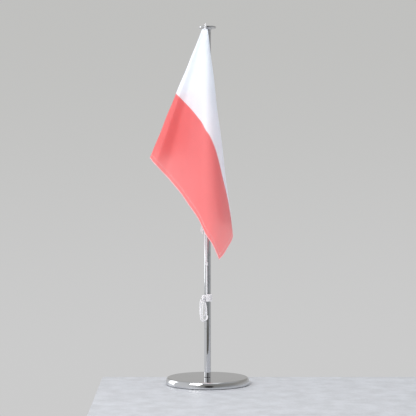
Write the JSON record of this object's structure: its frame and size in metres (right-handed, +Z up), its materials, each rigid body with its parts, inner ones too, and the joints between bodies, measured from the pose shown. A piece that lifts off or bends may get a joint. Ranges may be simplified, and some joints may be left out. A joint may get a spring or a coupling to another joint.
{
  "type": "desk flag stand",
  "caption": "Desk flag stand: a weighted round chromed base, a slim pole with a disc truck, a halyard tied to the pole and a two-colour satin flag hanging in folds.",
  "frame": {"origin": "centre of the base pad's underside, on the pole's axis", "axes": "+Z up along the pole, -Y to the front, where the halyard and the flag's front folds are"},
  "size_m": [0.1171, 0.1363, 0.4245],
  "materials": {
    "chrome_plate": "polished",
    "base_felt": "matt felt",
    "zinc_steel": "zinc plated",
    "white_cord": "braided polyester",
    "flag_satin": "printed satin, white over red"
  },
  "bodies": {
    "stand": {"base_disc": "chrome_plate", "base_pad": "base_felt", "base_screw": "zinc_steel", "lock_washer": "zinc_steel", "pole_tube": "chrome_plate", "pole_foot_plug": "zinc_steel", "truck": "chrome_plate", "halyard_hoist_fall": "white_cord", "halyard_over_truck": "white_cord", "halyard_return_fall": "white_cord", "pole_turns": "white_cord", "tie_knot": "white_cord", "bow_loop_front": "white_cord", "bow_loop_back": "white_cord", "cord_tail": "white_cord", "join_knot": "white_cord", "hitch_knot": "white_cord"},
    "hoist_stops": {"upper_stop": "white_cord", "lower_stop": "white_cord"},
    "flag": {"flag_cloth": "flag_satin"}
  },
  "joints": [
    {"name": "flag_lower", "type": "slide", "parent": "stand", "child": "hoist_stops", "axis": [0, 0, -1], "range_m": [0, 0.074]},
    {"name": "flag_swing", "type": "hinge", "parent": "hoist_stops", "child": "flag", "pos_m": [-0.003, -0.00923, 0.342], "axis": [0, 0, 1], "range_deg": [-68, 24]}
  ]
}
